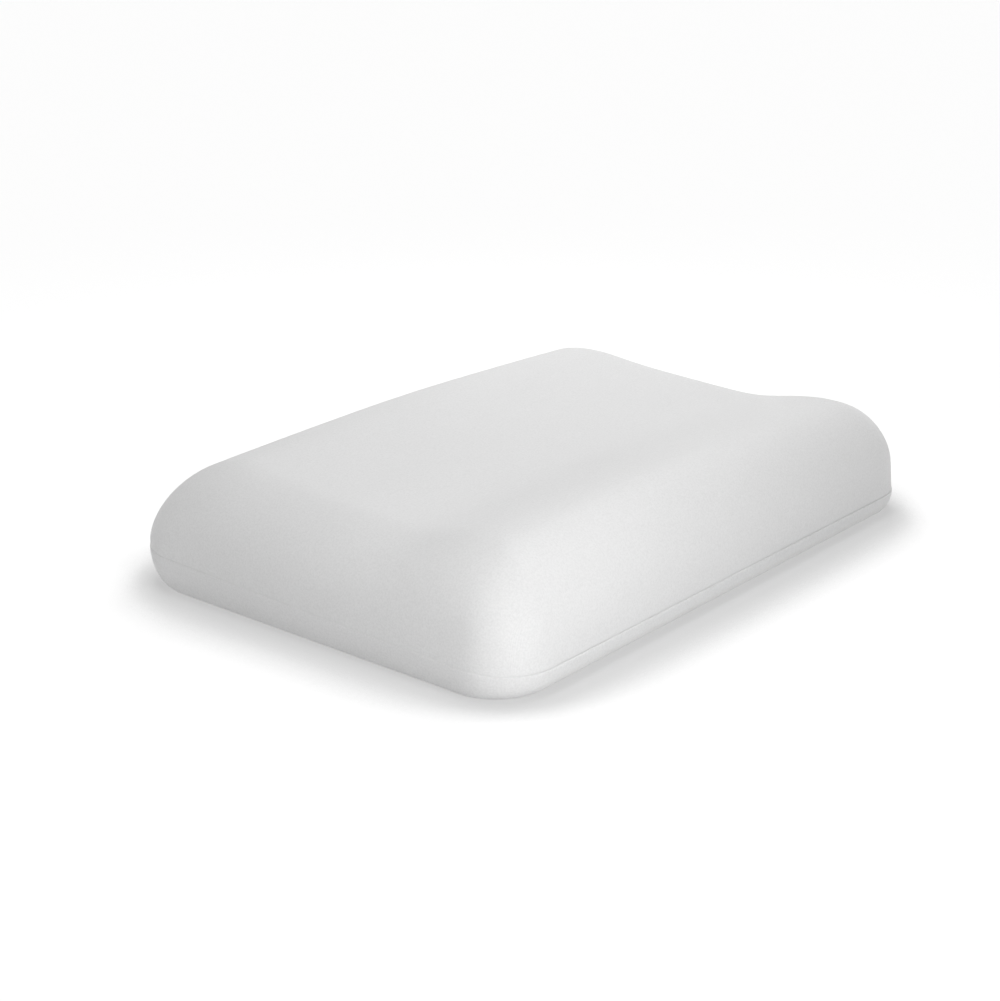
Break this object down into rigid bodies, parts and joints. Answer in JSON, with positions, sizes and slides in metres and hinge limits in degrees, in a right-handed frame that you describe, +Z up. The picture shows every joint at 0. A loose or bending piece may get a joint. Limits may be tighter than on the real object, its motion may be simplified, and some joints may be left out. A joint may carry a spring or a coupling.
{
  "type": "contour bed pillow",
  "caption": "Wave-topped contour foam bed pillow in a close knit cover with a low bound seam and a zip along the back.",
  "frame": {"origin": "centre of the flat base, on the surface that the pillow rests on", "axes": "+X along the pillow's length, -Y towards the front crest, +Y towards the zip in the back wall, +Z up"},
  "size_m": [0.6016, 0.4335, 0.111],
  "materials": {
    "foam": "soft open-celled viscoelastic foam with a thin moulded skin",
    "liner_jersey": "thin plain white stretch jersey",
    "cover_knit": "smooth matt white fine-gauge stretch knit",
    "base_knit": "smooth matt white fine-gauge knit",
    "binding_tape": "narrow folded knit binding, matt white",
    "zip_tape": "herringbone-woven polyester tape, white",
    "zip_coil": "white nylon coil",
    "zip_metal": "bright pressed aluminium",
    "zip_slider_paint": "white enamel on die-cast zinc"
  },
  "bodies": {
    "pillow": {"foam_core": "foam", "liner_top_panel": "liner_jersey", "liner_base_panel": "liner_jersey", "cover_top_panel": "cover_knit", "cover_base_panel": "base_knit", "seam_binding": "binding_tape", "zip_tape_upper": "zip_tape", "zip_tape_lower": "zip_tape", "zip_coil_upper": "zip_coil", "zip_coil_lower": "zip_coil", "zip_top_stops": "zip_metal", "zip_bottom_stop": "zip_metal"},
    "slider": {"zip_slider": "zip_slider_paint"},
    "pull_tab": {"zip_pull_tab": "zip_slider_paint"}
  },
  "joints": [
    {"name": "zip_travel", "type": "slide", "parent": "pillow", "child": "slider", "axis": [-1, 0, 0], "range_m": [0, 0.439]},
    {"name": "pull_tab_swing", "type": "hinge", "parent": "slider", "child": "pull_tab", "pos_m": [0.2197, 0.217, 0.0331], "axis": [0, 0, 1], "range_deg": [-180, 0]}
  ]
}
